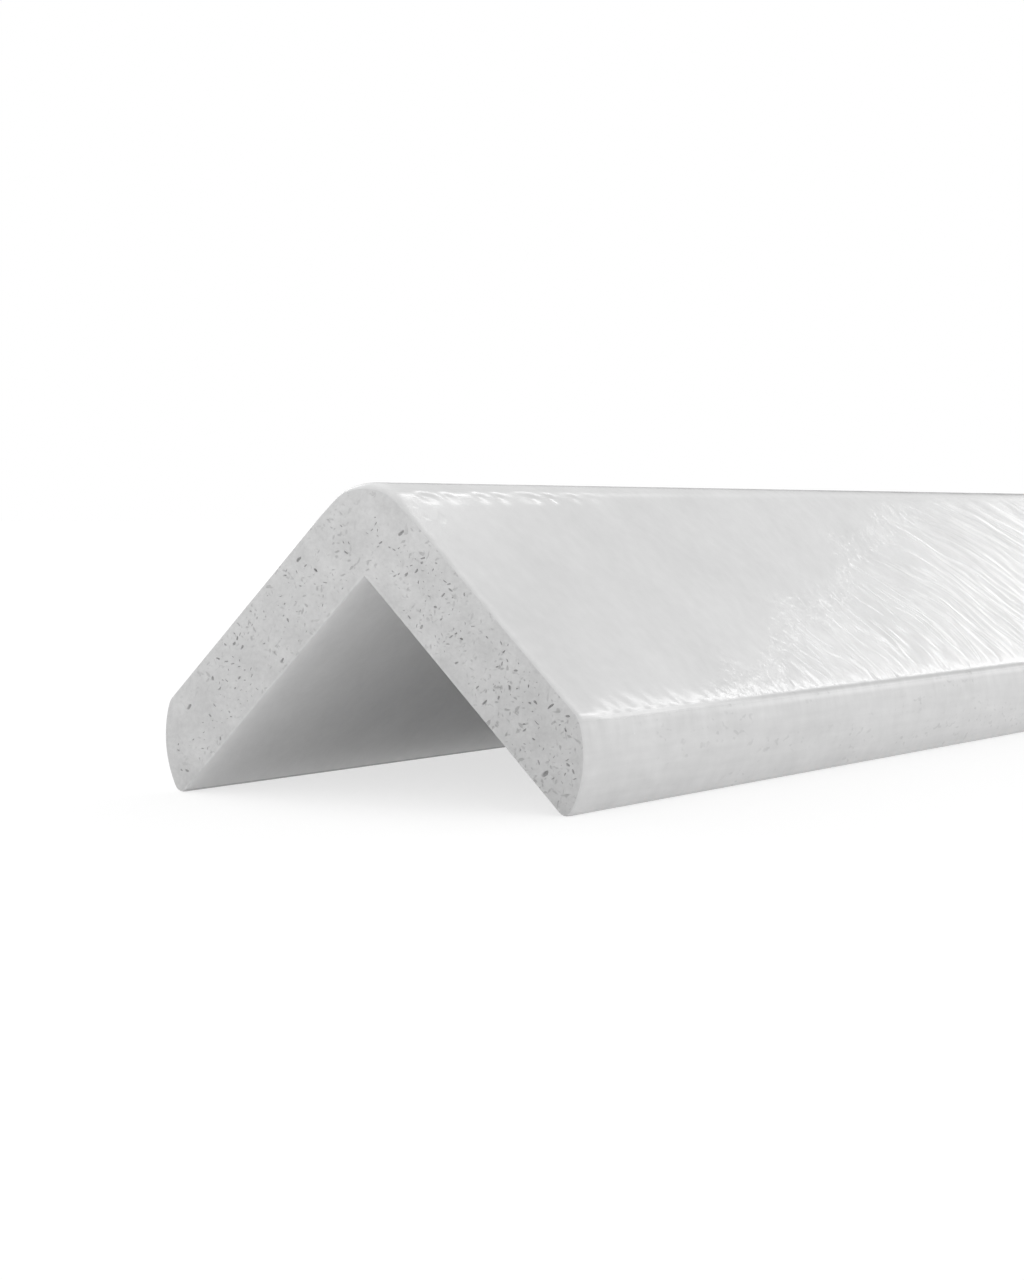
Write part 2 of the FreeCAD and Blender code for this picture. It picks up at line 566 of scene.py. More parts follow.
@dataclass(frozen=True)
class Crinkles:
    """The folds that the skin drew as it set, as formulas for both kinds of node tree.

    The folds sweep over each outer face in arcs. They leave the corner at a flat angle, cross the
    face away from the cut and stand almost square to the length at the shoulder. They begin some
    way behind the front cut, nearer to it at the shoulder than at the corner. Sizes in metres, and
    a scale is how many features lie along one metre. The upper layer's lean is a share of the
    corner's, the lower layer's one of the shoulder's, and the blend is a span of shares of the face.
    """

    spacing: float = 6.0 * MM
    stretch: float = 3.8
    corner_lean: float = 2.1
    shoulder_lean: float = 0.2
    upper_lean: float = 0.75
    lower_lean: float = 2.0
    layer_blend: tuple[float, float] = (0.25, 0.75)
    along_lean: float = 0.5
    wander: float = 14.0 * MM
    wander_scale: float = 45.0
    start: float = 172.0 * MM
    start_slope: float = 3.0
    start_reach: float = 55.0 * MM
    start_drift: float = 70.0 * MM
    start_drift_scale: float = 60.0
    height: float = 0.22 * MM
    patch_scale: float = 50.0
    lowest_patch: float = 0.55
    face_edge: float = 1.5 * MM
    mesh_end: tuple[float, float] = (225.0 * MM, 330.0 * MM)
    crease_start: tuple[float, float] = (10.0 * MM, 90.0 * MM)
    crease_trace: float = 0.15

    def strokes(self, place: SkinPlace, fineness: float = 1.0) -> Socket:
        """Noise drawn out along the folds, about one half on average.

        Args:
            place: Where it is read.
            fineness: How many strokes lie side by side in the room of one fold.

        Returns:
            The noise.
        """
        sheet, section = place.sheet, place.section
        reach = section.shoulder_length - section.corner_length
        bend = (self.corner_lean - self.shoulder_lean) / reach / 2
        past = sheet.math("SUBTRACT", place.down, section.corner_length)
        sweep = sheet.math("SUBTRACT", sheet.times(past, self.corner_lean), sheet.times(past, past, bend))
        here = sheet.vector(place.along, place.around, 0.0)
        drift = sheet.times(sheet.jitter(here, self.wander_scale), self.wander)
        across = sheet.plus(place.along, sheet.times(sweep, -1.0), drift)
        run = sheet.plus(place.down, sheet.times(place.along, self.along_lean))

        def layer(lean: float) -> Socket:
            """Strokes whose room along the length suits folds that lean so much.

            Args:
                lean: How far the folds run along the length for each metre down the face.

            Returns:
                The noise.
            """
            width = self.spacing * math.hypot(1.0, lean) / fineness / 2
            level, upright = sheet.times(across, 1 / width), sheet.times(run, 1 / width / self.stretch)
            return sheet.noise(sheet.vector(level, upright, place.side), 1.0, 1.0)

        upper = layer(self.upper_lean * self.corner_lean)
        lower = layer(self.lower_lean * self.shoulder_lean)
        share = sheet.ramp(past, *(part * reach for part in self.layer_blend))
        return sheet.plus(upper, sheet.times(share, sheet.math("SUBTRACT", lower, upper)))

    def begun(self, place: SkinPlace) -> Socket:
        """How far the folds have set in along the length.

        Args:
            place: Where it is read.

        Returns:
            A share, from 0 beside the cut to 1.
        """
        sheet = place.sheet
        here = sheet.vector(place.along, place.around, 0.0)
        drift = sheet.times(sheet.jitter(here, self.start_drift_scale), self.start_drift)
        reached = sheet.plus(place.along, sheet.times(place.down, self.start_slope), drift)
        return sheet.ramp(reached, self.start, self.start + self.start_reach)

    def on_face(self, place: SkinPlace) -> Socket:
        """Mask of the flat outer faces, which alone are folded.

        Args:
            place: Where it is read.

        Returns:
            A share, 1 on the faces and 0 on the ridge and the leg ends.
        """
        sheet, section = place.sheet, place.section
        corner = section.corner_length
        off_ridge = sheet.ramp(place.down, corner - self.face_edge, corner + self.face_edge)
        ended = sheet.ramp(place.down, section.shoulder_length, section.crown_length, 1.0, 0.0)
        return sheet.times(off_ridge, ended)

    def strength(self, place: SkinPlace) -> Socket:
        """How strongly the skin is folded, from 0 to 1."""
        return place.sheet.times(self.begun(place), self.on_face(place))

    def swells(self, place: SkinPlace) -> Socket:
        """Depth of the broad folds.

        Args:
            place: Where it is read.

        Returns:
            The depth, from 0 to 1.
        """
        patches = place.noise(self.patch_scale, self.patch_scale)
        patchy = place.sheet.ramp(patches, *SPAN, self.lowest_patch, 1.0)
        fold = place.sheet.ramp(self.strokes(place), *SPAN)
        return place.sheet.times(fold, patchy, self.strength(place))

    def in_mesh(self, place: SkinPlace) -> Socket:
        """Share of the relief that the mesh carries, from 1 to 0 where its rings lie wide apart."""
        return place.sheet.ramp(place.along, *self.mesh_end, 1.0, 0.0)

    def creased(self, place: SkinPlace) -> Socket:
        """How far the shoulder's crease has formed, from a trace beside the cut to 1."""
        return place.sheet.ramp(place.along, *self.crease_start, self.crease_trace, 1.0)


@dataclass
class Skin:
    """The guard's skin: its outer faces, leg ends and back as one tube that is open at the cuts.

    The first and last rings round the cuts' edges over, most of all at the ridge. The rings lie
    closest near the front cut, where the relief is finest: folds on the faces, ripples on the outer
    corner, and at each shoulder a crease below a row of teeth, where the face rolls over unevenly.
    Each vertex carries "around", the length of the outline from the ridge to it, and "from_cut", its
    distance from the front cut. Sizes in metres, and a scale is how many features lie along one.
    """

    length: float
    section: Section
    crinkles: Crinkles
    near_step: float = 0.76 * MM
    near_reach: float = 238.0 * MM
    growth: float = 1.09
    far_step: float = 14.0 * MM
    edge_length: float = 0.9 * MM
    edge_drop: float = 0.22 * MM
    edge_rings: int = 5
    ridge_drop: float = 0.75 * MM
    ridge_drop_length: float = 3.2 * MM
    ridge_drop_width: float = 5.5 * MM
    ripple_depth: float = 0.26 * MM
    ripple_spacing: float = 7.2 * MM
    ripple_evenness: float = 0.65
    ripple_inset: float = 0.3 * MM
    ripple_band: float = 1.5 * MM
    ripple_fade: tuple[float, float] = (38.0 * MM, 80.0 * MM)
    tooth_depth: float = 0.19 * MM
    tooth_spacing: float = 4.4 * MM
    tooth_evenness: float = 0.15
    tooth_roll: float = 0.8 * MM
    tooth_reach: float = 3.6 * MM
    tooth_foot: float = 1.4 * MM
    wave_start: tuple[float, float] = (3.0 * MM, 9.0 * MM)
    wave_lean: float = 0.6
    wave_power: float = 2.0
    wobble: float = 1.5
    wobble_scale: float = 110.0
    patch_span: tuple[float, float] = (0.35, 0.62)
    patch_scale: float = 130.0
    crease_depth: float = 0.05 * MM
    crease_width: float = 0.60 * MM

    def stations(self) -> np.ndarray:
        """Spaces the rings: close near the front cut, then ever wider apart.

        Returns:
            Distances of the rings from the front cut.
        """
        rounding = self.edge_length * np.linspace(0.0, 1.0, self.edge_rings) ** 2
        places = list(rounding)
        step = self.near_step
        end = self.length - self.edge_length
        while places[-1] + 1.5 * step < end:
            places.append(places[-1] + step)
            if places[-1] > self.near_reach:
                step = min(step * self.growth, self.far_step)
        return np.array(places + list(self.length - rounding[::-1]))

    def build(self) -> bpy.types.Object:
        """Makes the plain tube.

        Returns:
            Its object, with the faces' zones in the attribute "zone".
        """
        loop, around, back = self.section.loop()
        stations = self.stations()
        from_edge = np.minimum(stations, self.length - stations)
        outside = np.abs(around) < self.section.lip_length
        on_ridge = np.exp(-((around / self.ridge_drop_width) ** 2)) * outside
        drop = self.edge_drop * rounding_over(from_edge / self.edge_length)[:, None]
        ridge_drop = self.ridge_drop * rounding_over(from_edge / self.ridge_drop_length)
        drop = drop + ridge_drop[:, None] * on_ridge
        rings = np.empty((len(stations), len(loop), 3))
        rings[:, :, [0, 2]] = loop - drop[:, :, None] * outward(loop)
        rings[:, :, 1] = (stations - self.length / 2)[:, None]
        ring = np.arange(len(stations) - 1)[:, None] * len(loop)
        here = np.arange(len(loop))[None, :]
        after = (here + 1) % len(loop)
        corners = (ring + here, ring + after, ring + len(loop) + after, ring + len(loop) + here)
        quads = np.stack(corners, axis=-1).reshape(-1, 4)
        mesh = bpy.data.meshes.new(PIECE)
        mesh.from_pydata(rings.reshape(-1, 3).tolist(), [], quads.tolist())
        store(mesh, "around", "POINT", np.tile(around, len(stations)))
        store(mesh, "from_cut", "POINT", np.repeat(stations, len(loop)))
        store(mesh, "zone", "FACE", np.tile(np.where(back, Zone.BACK, Zone.OUTSIDE), len(stations) - 1))
        return new_object(PIECE, mesh)

    def press(self, tube: bpy.types.Object, outside: bpy.types.Material, back: bpy.types.Material) -> None:
        """Works the relief into the tube and gives its faces their finishes.

        Args:
            tube: The tube.
            outside: Finish of the outer faces and leg ends.
            back: Finish of the back.
        """
        tool = GeometryTool(
            "Skin relief",
            {
                "Fold Depth": self.crinkles.height,
                "Ripple Depth": self.ripple_depth,
                "Ripple Spacing": self.ripple_spacing,
                "Tooth Depth": self.tooth_depth,
                "Tooth Spacing": self.tooth_spacing,
                "Crease Depth": self.crease_depth,
            },
            {"Outside": outside, "Back": back},
        )
        sheet, given = tool.sheet, tool.given
        place = SkinPlace(sheet, self.section, tool.attribute("around"), tool.attribute("from_cut"))
        folds = sheet.times(self.crinkles.swells(place), given["Fold Depth"])
        waves = sheet.plus(self._ripples(place, given), self._teeth(place, given))
        waves = sheet.times(waves, sheet.ramp(place.along, *self.wave_start))
        crease = sheet.bump(place.down, self.section.crease_length, self.crease_width)
        crease = sheet.times(crease, self.crinkles.creased(place), given["Crease Depth"])
        depth = sheet.times(sheet.plus(folds, waves), self.crinkles.in_mesh(place))
        depth = sheet.plus(depth, crease)
        flat_normal = sheet.vectors("MULTIPLY", sheet.out("GeometryNodeInputNormal"), (1.0, 0.0, 1.0))
        offset = sheet.scaled(flat_normal, sheet.times(depth, -1.0))
        moved = sheet.out("GeometryNodeSetPosition", {"Geometry": given["Geometry"], "Offset": offset})
        on_back = sheet.math("GREATER_THAN", tool.attribute("zone"), (Zone.OUTSIDE + Zone.BACK) / 2)
        tool.finish(moved, [("Outside", True), ("Back", on_back)])
        tool.run(tube)

    def _ripples(self, place: SkinPlace, given: bpy.types.NodeOutputs) -> Socket:
        """Depth of the slanted ripples on the outer corner.

        Args:
            place: Where it is read.
            given: The tree's named inputs.

        Returns:
            The depth in metres.
        """
        sheet, corner = place.sheet, place.section.corner_length
        return sheet.times(
            self._wave(place, corner, given["Ripple Spacing"], self.ripple_evenness),
            sheet.bump(place.down, corner - self.ripple_inset, self.ripple_band),
            sheet.ramp(place.along, *self.ripple_fade, 1.0, 0.0),
            given["Ripple Depth"],
        )

    def _teeth(self, place: SkinPlace, given: bpy.types.NodeOutputs) -> Socket:
        """Depth of the roll of each face into its shoulder, which reaches up the face in teeth.

        Args:
            place: Where it is read.
            given: The tree's named inputs.

        Returns:
            The depth in metres.
        """
        sheet, shoulder = place.sheet, place.section.shoulder_length
        wave = self._wave(place, shoulder, given["Tooth Spacing"], self.tooth_evenness)
        top = sheet.math("SUBTRACT", shoulder - self.tooth_roll, sheet.times(wave, self.tooth_reach))
        foot = shoulder + self.tooth_foot
        return sheet.times(
            sheet.ramp(place.down, top, foot),
            sheet.ramp(place.down, (shoulder + foot) / 2, place.section.crown_length, 1.0, 0.0),
            given["Tooth Depth"],
        )

    def _wave(self, place: SkinPlace, level: float, spacing: Value, evenness: float) -> Socket:
        """Uneven slanted waves that follow each other along the length.

        Args:
            place: Where it is read.
            level: Length of the outline from the ridge to the middle of the waves.
            spacing: Distance from one wave to the next.
            evenness: Height of the lowest waves as a share of the highest.

        Returns:
            The waves' height, from 0 to 1.
        """
        sheet = place.sheet
        away = sheet.math("SUBTRACT", place.down, level)
        slanted = sheet.plus(place.along, sheet.times(away, -self.wave_lean))
        here = sheet.vector(place.along, place.side, 0.0)
        wobble = sheet.times(sheet.jitter(here, self.wobble_scale), self.wobble)
        phase = sheet.times(sheet.plus(sheet.math("DIVIDE", slanted, spacing), wobble), 2 * math.pi)
        wave = sheet.plus(sheet.times(sheet.math("SINE", phase), 0.5), 0.5)
        wave = sheet.math("POWER", wave, self.wave_power)
        patches = sheet.noise(sheet.vector(place.along, place.around, level / MM), self.patch_scale)
        return sheet.times(wave, sheet.ramp(patches, *self.patch_span, evenness, 1.0))


def rounding_over(share: np.ndarray) -> np.ndarray:
    """How far a quarter round has fallen away, from 1 at its start to 0 at its whole length."""
    return 1 - np.sqrt(1 - (1 - np.clip(share, 0.0, 1.0)) ** 2)


def outward(loop: np.ndarray) -> np.ndarray:
    """Unit vectors that point out of a closed outline at its points.

    Args:
        loop: The outline's points as (x, z).

    Returns:
        One vector for each point.
    """
    edges = np.roll(loop, -1, axis=0) - loop
    edges /= np.linalg.norm(edges, axis=1)[:, None]
    tangent = edges + np.roll(edges, 1, axis=0)
    tangent /= np.linalg.norm(tangent, axis=1)[:, None]
    after = np.roll(loop, -1, axis=0)
    turn = math.copysign(1.0, (loop[:, 0] * after[:, 1] - after[:, 0] * loop[:, 1]).sum())
    return np.stack([tangent[:, 1], -tangent[:, 0]], axis=1) * turn


@dataclass(frozen=True)
class BigPore:
    """One of the larger pores of the front cut, in metres: where it lies and its size."""

    side: int
    along_leg: float
    into_wall: float
    radius: float


BIG_PORES = (
    BigPore(-1, 18.6 * MM, 1.9 * MM, 0.66 * MM),
    BigPore(-1, 49.2 * MM, 3.4 * MM, 0.58 * MM),
    BigPore(-1, 35.5 * MM, 3.9 * MM, 0.46 * MM),
    BigPore(-1, 31.5 * MM, 10.4 * MM, 0.50 * MM),
    BigPore(1, 12.0 * MM, 2.9 * MM, 0.70 * MM),
    BigPore(1, 16.9 * MM, 6.5 * MM, 0.48 * MM),
    BigPore(1, 39.1 * MM, 9.9 * MM, 0.56 * MM),
    BigPore(1, 47.0 * MM, 2.3 * MM, 0.62 * MM),
    BigPore(1, 53.1 * MM, 9.7 * MM, 0.74 * MM),
)


@dataclass
class PorousCut:
    """The bare foam of one cut, with its open pores.

    The tree fills the cut's outline, leaves a hole for each pore and sets a small uneven bowl into
    each hole, edge to edge. The pores are crowded in patches, and they are fewer below the outer
    corner and at one leg's end. Sizes in metres, and a scale is how many features lie along one.
    """

    cut: Cut
    seed: int
    big_pores: tuple[BigPore, ...] = ()
    skin: float = 0.50 * MM
    apart: float = 0.74 * MM
    big_room: float = 1.6
    crowd: float = 1_500_000.0
    patch_scale: float = 120.0
    patch_span: tuple[float, float] = (0.40, 0.60)
    sparsest: float = 0.12
    calm_middle: float = -6.0 * MM
    calm_reach: float = 14.0 * MM
    calm_corner: float = 0.75
    calm_end_span: tuple[float, float] = (-33.0 * MM, -27.0 * MM)
    calm_end: float = 0.7
    smallest: float = 0.12 * MM
    largest: float = 0.44 * MM
    size_power: float = 1.7
    narrowness: tuple[float, float] = (0.22, 0.52)
    belly: float = 0.5
    depth: float = 1.3
    warp: float = 0.60 * MM
    warp_scale: float = 1100.0
    rim_points: int = 10

    def outline(self, tube: bpy.types.Object, section: Section) -> bpy.types.Object:
        """The cut's outline, laid flat, with the larger pores as loose points.

        Args:
            tube: The skin that the cut closes.
            section: The guard's section, for the places of the larger pores.

        Returns:
            An object with the outline's points in a loop. Its attribute "pore_size" is the radius of
            a pore, and 0 on the outline.
        """
        count = len(section.loop()[0])
        places = np.empty(len(tube.data.vertices) * 3, np.float32)
        tube.data.vertices.foreach_get("co", places)
        rings = places.reshape(-1, count, 3)
        ring = rings[0] if self.cut is Cut.FRONT else rings[-1]
        loop = ring[:, [0, 2]] * (-self.cut.value, 1)
        pores = [section.place(np.array([[p.along_leg, p.into_wall]]), p.side) for p in self.big_pores]
        flat = np.vstack([loop] + pores)
        edges = [(i, (i + 1) % count) for i in range(count)]
        mesh = bpy.data.meshes.new("cut_outline")
        mesh.from_pydata(np.pad(flat, ((0, 0), (0, 1))).tolist(), edges, [])
        sizes = np.concatenate([np.zeros(count), [p.radius for p in self.big_pores]])
        store(mesh, "pore_size", "POINT", sizes)
        return new_object(f"{self.cut.name.lower()}_cut", mesh)

    def build(
        self, tube: bpy.types.Object, section: Section, length: float, foam: bpy.types.Material
    ) -> bpy.types.Object:
        """Makes the cut.

        Args:
            tube: The skin that the cut closes.
            section: The guard's section.
            length: Length of the stock.
            foam: Finish of the bare foam.

        Returns:
            The cut's object, whose edge lies on the skin's end.
        """
        cut = self.outline(tube, section)
        tool = GeometryTool(
            f"Porous {self.cut.name.lower()} cut",
            {
                "Seed": self.seed,
                "Skin": self.skin,
                "Apart": self.apart,
                "Crowd": self.crowd,
                "Smallest": self.smallest,
                "Largest": self.largest,
                "Depth": self.depth,
                "Warp": self.warp,
                "Warp Scale": self.warp_scale,
                "Rim Points": self.rim_points,
                "Half Length": length / 2,
            },
            {"Foam": foam},
        )
        sheet, given = tool.sheet, tool.given
        is_pore = sheet.math("GREATER_THAN", tool.attribute("pore_size"), 0.0)
        values = {"Geometry": given["Geometry"], "Selection": is_pore}
        split = sheet.add("GeometryNodeSeparateGeometry", values, domain="POINT").outputs
        edge, chosen = split["Inverted"], sheet.out("GeometryNodeMeshToPoints", {"Mesh": split["Selection"]})
        pores = self._scatter(tool, edge, chosen)
        bowls = self._bowls(tool, pores)
        ring = sheet.out("GeometryNodeMeshToCurve", {"Mesh": edge})
        open_edge = sheet.math("COMPARE", sheet.out("GeometryNodeInputMeshEdgeNeighbors"), 1.0, 0.1)
        rims = sheet.out("GeometryNodeMeshToCurve", {"Mesh": bowls, "Selection": open_edge})
        borders = self._join(sheet, [ring, rims])
        face = sheet.out("GeometryNodeFillCurve", {"Curve": borders}, mode="TRIANGLES")
        whole = self._join(sheet, [face, bowls])
        whole = sheet.out("GeometryNodeMergeByDistance", {"Geometry": whole, "Distance": WELD})
        turned = math.pi if self.cut is Cut.REAR else 0.0
        place = sheet.vector(0.0, sheet.times(given["Half Length"], self.cut.value), 0.0)
        values = {"Geometry": whole, "Translation": place, "Rotation": (math.pi / 2, 0.0, turned)}
        tool.finish(sheet.out("GeometryNodeTransform", values), [("Foam", True)])
        tool.run(cut)
        return cut

    def _join(self, sheet: NodeSheet, parts: list[Socket]) -> Socket:
        """Joins several geometries.

        Args:
            sheet: Where the node goes.
            parts: The geometries.

        Returns:
            All of them as one.
        """
        node = sheet.add("GeometryNodeJoinGeometry")
        for part in parts:
            sheet.tree.links.new(part, node.inputs[0])
        return node.outputs[0]

    def _distance(self, sheet: NodeSheet, target: Socket, kind: str) -> Socket:
        """Distance from the point that is worked on to a geometry's POINTS or EDGES."""
        node = sheet.add("GeometryNodeProximity", {"Geometry": target}, target_element=kind)
        return node.outputs["Distance"]

    def _scatter(self, tool: GeometryTool, edge: Socket, chosen: Socket) -> Socket:
        """Points for all the pores, with their sizes.

        Args:
            tool: The tree that is being made.
            edge: The cut's outline.
            chosen: Points of the larger pores.

        Returns:
            The points, with the radius of each in "pore_size".
        """
        sheet, given = tool.sheet, tool.given
        here = tool.position()
        ring = sheet.out("GeometryNodeMeshToCurve", {"Mesh": edge})
        plain = sheet.out("GeometryNodeFillCurve", {"Curve": ring})
        margin = sheet.plus(given["Skin"], given["Largest"])
        clear = sheet.math("GREATER_THAN", self._distance(sheet, edge, "EDGES"), margin)
        if self.big_pores:
            room = self._distance(sheet, chosen, "POINTS")
            kept_room = sheet.times(given["Apart"], self.big_room)
            clear = sheet.times(clear, sheet.math("GREATER_THAN", room, kept_room))
        patches = sheet.noise(here, self.patch_scale)
        patches = sheet.ramp(patches, *self.patch_span, self.sparsest, 1.0)
        across = sheet.axis(here, "X")
        calm_corner = sheet.bump(across, self.calm_middle, self.calm_reach)
        calm_corner = sheet.times(calm_corner, -self.calm_corner)
        calm_end = sheet.ramp(across, *self.calm_end_span, -self.calm_end, 0.0)
        share = sheet.times(patches, sheet.plus(calm_corner, calm_end, 1.0), clear)
        kept = sheet.math("LESS_THAN", self._random(tool, 0.0, 1.0, 4), share)
        values = {"Mesh": plain, "Distance Min": given["Apart"], "Density Max": given["Crowd"]}
        values["Seed"] = given["Seed"]
        spread = sheet.add("GeometryNodeDistributePointsOnFaces", values, distribute_method="POISSON")
        values = {"Geometry": spread.outputs["Points"], "Selection": kept}
        points = sheet.out("GeometryNodeSeparateGeometry", values, domain="POINT")
        roll = self._random(tool, 0.0, 1.0, 1)
        span = sheet.math("SUBTRACT", given["Largest"], given["Smallest"])
        size = sheet.plus(given["Smallest"], sheet.times(sheet.math("POWER", roll, self.size_power), span))
        values = {"Geometry": points, "Name": "pore_size", "Value": size}
        sized = sheet.out("GeometryNodeStoreNamedAttribute", values, data_type="FLOAT", domain="POINT")
        return self._join(sheet, [sized, chosen]) if self.big_pores else sized

    def _random(self, tool: GeometryTool, low: float, high: float, offset: int) -> Socket:
        """A random number for each point, from the tree's seed plus an offset."""
        values = {"Min": low, "Max": high, "Seed": tool.sheet.plus(tool.given["Seed"], offset)}
        return tool.sheet.out("FunctionNodeRandomValue", values, data_type="FLOAT")

    def _bowls(self, tool: GeometryTool, pores: Socket) -> Socket:
        """One uneven bowl for each pore, open at the cut's level.

        Args:
            tool: The tree that is being made.
            pores: The pores' points.

        Returns:
            The bowls, with the attribute "pore" at 0 on their rims and 1 inside.
        """
        sheet, given = tool.sheet, tool.given
        values = {"Vertices": given["Rim Points"], "Side Segments": 2, "Depth": 1.0}
        values.update({"Radius Top": 0.0, "Radius Bottom": 1.0})
        cone = sheet.out("GeometryNodeMeshCone", values, fill_type="NONE")
        here = tool.position()
        rise = sheet.axis(here, "Z")
        inside = sheet.math("GREATER_THAN", rise, 0.01)
        values = {"Geometry": cone, "Name": "pore", "Value": inside}
        cone = sheet.out("GeometryNodeStoreNamedAttribute", values, data_type="FLOAT", domain="POINT")
        wider = sheet.plus(sheet.times(inside, self.belly), 1.0)
        deep = sheet.times(sheet.math("SQRT", sheet.math("MAXIMUM", rise, 0.0)), -1.0)
        shape = sheet.vector(
            sheet.times(sheet.axis(here, "X"), wider), sheet.times(sheet.axis(here, "Y"), wider), deep
        )
        bowl = sheet.out("GeometryNodeSetPosition", {"Geometry": cone, "Position": shape})
        size = tool.attribute("pore_size")
        width = sheet.times(size, self._random(tool, *self.narrowness, 2))
        turn = self._random(tool, 0.0, math.pi, 3)
        values = {
            "Points": pores, "Instance": bowl, "Rotation": sheet.vector(0.0, 0.0, turn),
            "Scale": sheet.vector(size, width, sheet.times(width, given["Depth"])),
        }
        placed = sheet.out("GeometryNodeInstanceOnPoints", values)
        placed = sheet.out("GeometryNodeRealizeInstances", {"Geometry": placed})
        flat = sheet.vectors("MULTIPLY", here, (1.0, 1.0, 0.0))
        values = {"Vector": flat, "Scale": given["Warp Scale"], "Detail": 1.0}
        drift = sheet.add("ShaderNodeTexNoise", values).outputs["Color"]
        drift = sheet.vectors("MULTIPLY", sheet.vectors("SUBTRACT", drift, (0.5, 0.5, 0.5)), (1.0, 1.0, 0.0))
        offset = sheet.scaled(drift, given["Warp"])
        return sheet.out("GeometryNodeSetPosition", {"Geometry": placed, "Offset": offset})


@dataclass
class SurfaceGroups:
    """Shader node groups that more than one finish uses.

    A mottle has broad patches and finer ones over them, which are so many times finer and weigh so
    much as the broad ones.
    """

    finer: float = 6.0
    fine_weight: float = 0.7

    def __post_init__(self) -> None:
        """Builds the groups once."""
        self.mottle = self._mottle()
        self.grain = self._grain()

    def _new(self, name: str, inputs: dict[str, str], outputs: dict[str, str]) -> bpy.types.NodeTree:
        """Makes an empty group.

        Args:
            name: Its name.
            inputs: Name and type of each input.
            outputs: The same for the outputs.

        Returns:
            The group.
        """
        tree = bpy.data.node_groups.new(name, "ShaderNodeTree")
        for in_out, sockets in (("INPUT", inputs), ("OUTPUT", outputs)):
            for label, kind in sockets.items():
                tree.interface.new_socket(label, in_out=in_out, socket_type=kind)
        return tree

    def _mottle(self) -> bpy.types.NodeTree:
        """Cloudy unevenness of a grey: broad patches and finer ones over them.

        Returns:
            The group, with the grey as Color and its unevenness alone as Change.
        """
        number = "NodeSocketFloat"
        inputs = {"Vector": "NodeSocketVector", "Grey": number, "Spread": number, "Scale": number}
        tree = self._new("Mottle", inputs, {"Color": "NodeSocketColor", "Change": number})
        sheet = NodeSheet(tree)
        given = sheet.add("NodeGroupInput").outputs
        broad = sheet.jitter(given["Vector"], given["Scale"], 3.0)
        fine = sheet.jitter(given["Vector"], sheet.times(given["Scale"], self.finer), 3.0)
        change = sheet.plus(broad, sheet.times(fine, self.fine_weight))
        grey = sheet.plus(given["Grey"], sheet.times(change, given["Spread"]))
        sheet.add("NodeGroupOutput", {"Color": sheet.vector(grey, grey, grey), "Change": change})
        return tree

    def _grain(self) -> bpy.types.NodeTree:
        """Fine grain of a surface.

        Returns:
            The group, with the grain's height in metres as Height.
        """
        number = "NodeSocketFloat"
        inputs = {"Vector": "NodeSocketVector", "Scale": number, "Depth": number}
        tree = self._new("Grain", inputs, {"Height": number})
        sheet = NodeSheet(tree)
        given = sheet.add("NodeGroupInput").outputs
        rough = sheet.noise(given["Vector"], given["Scale"], 3.0)
        sheet.add("NodeGroupOutput", {"Height": sheet.times(rough, given["Depth"])})
        return tree


@dataclass(frozen=True)
class Finish:
    """What every finish of the guard has: a name, a grey, its gloss and its grain, in metres."""

    name: str
    grey: float
    spread: float
    mottle_scale: float
    roughness: float
    roughness_spread: float
    specular: float
    grain_scale: float
    grain_depth: float

    def start(self, groups: SurfaceGroups) -> tuple[bpy.types.Material, NodeSheet, dict[str, Value]]:
        """Makes the material with the parts that all finishes share.

        Args:
            groups: The shared node groups.

        Returns:
            The material, its node sheet, and the sockets "color", "roughness", "height" and "here".
        """
        made = bpy.data.materials.new(self.name)
        made.use_nodes = True
        sheet = NodeSheet(made.node_tree)
        shader = made.node_tree.nodes["Principled BSDF"]
        shader.inputs["Specular IOR Level"].default_value = self.specular
        here = sheet.add("ShaderNodeTexCoord").outputs["Object"]
        values = {"Vector": here, "Grey": self.grey, "Spread": self.spread, "Scale": self.mottle_scale}
        mottle = self._group(sheet, groups.mottle, values)
        values = {"Vector": here, "Scale": self.grain_scale, "Depth": self.grain_depth}
        grain = self._group(sheet, groups.grain, values)
        rough = sheet.plus(sheet.times(mottle["Change"], self.roughness_spread), self.roughness)
        sockets = {"color": mottle["Color"], "roughness": rough, "height": grain["Height"], "here": here}
        return made, sheet, sockets

    def _group(
        self, sheet: NodeSheet, tree: bpy.types.NodeTree, values: dict[str, Value]
    ) -> bpy.types.NodeOutputs:
        """Places a node group.

        Args:
            sheet: Where it goes.
            tree: The group.
            values: What each named input gets.

        Returns:
            Its outputs.
        """
        node = sheet.add("ShaderNodeGroup", None, node_tree=tree)
        for name, value in values.items():
            sheet.put(node.inputs[name], value)
        return node.outputs

    def end(
        self, made: bpy.types.Material, sheet: NodeSheet, color: Value, roughness: Value, height: Value
    ) -> bpy.types.Material:
        """Joins the colour, the gloss and the relief to the shader.

        Args:
            made: The material.
            sheet: Its node sheet.
            color: The surface's colour.
            roughness: Its roughness.
            height: Its relief in metres.

        Returns:
            The material.
        """
        shader = made.node_tree.nodes["Principled BSDF"]
        sheet.put(shader.inputs["Base Color"], color)
        sheet.put(shader.inputs["Roughness"], roughness)
        relief = sheet.out("ShaderNodeBump", {"Height": height, "Strength": 1.0, "Distance": 1.0})
        sheet.put(shader.inputs["Normal"], relief)
        return made


@dataclass(frozen=True)
class Marks:
    """One kind of marks in the skin: its scales along the length and around, and its strength."""

    along_scale: float
    around_scale: float
    strength: float


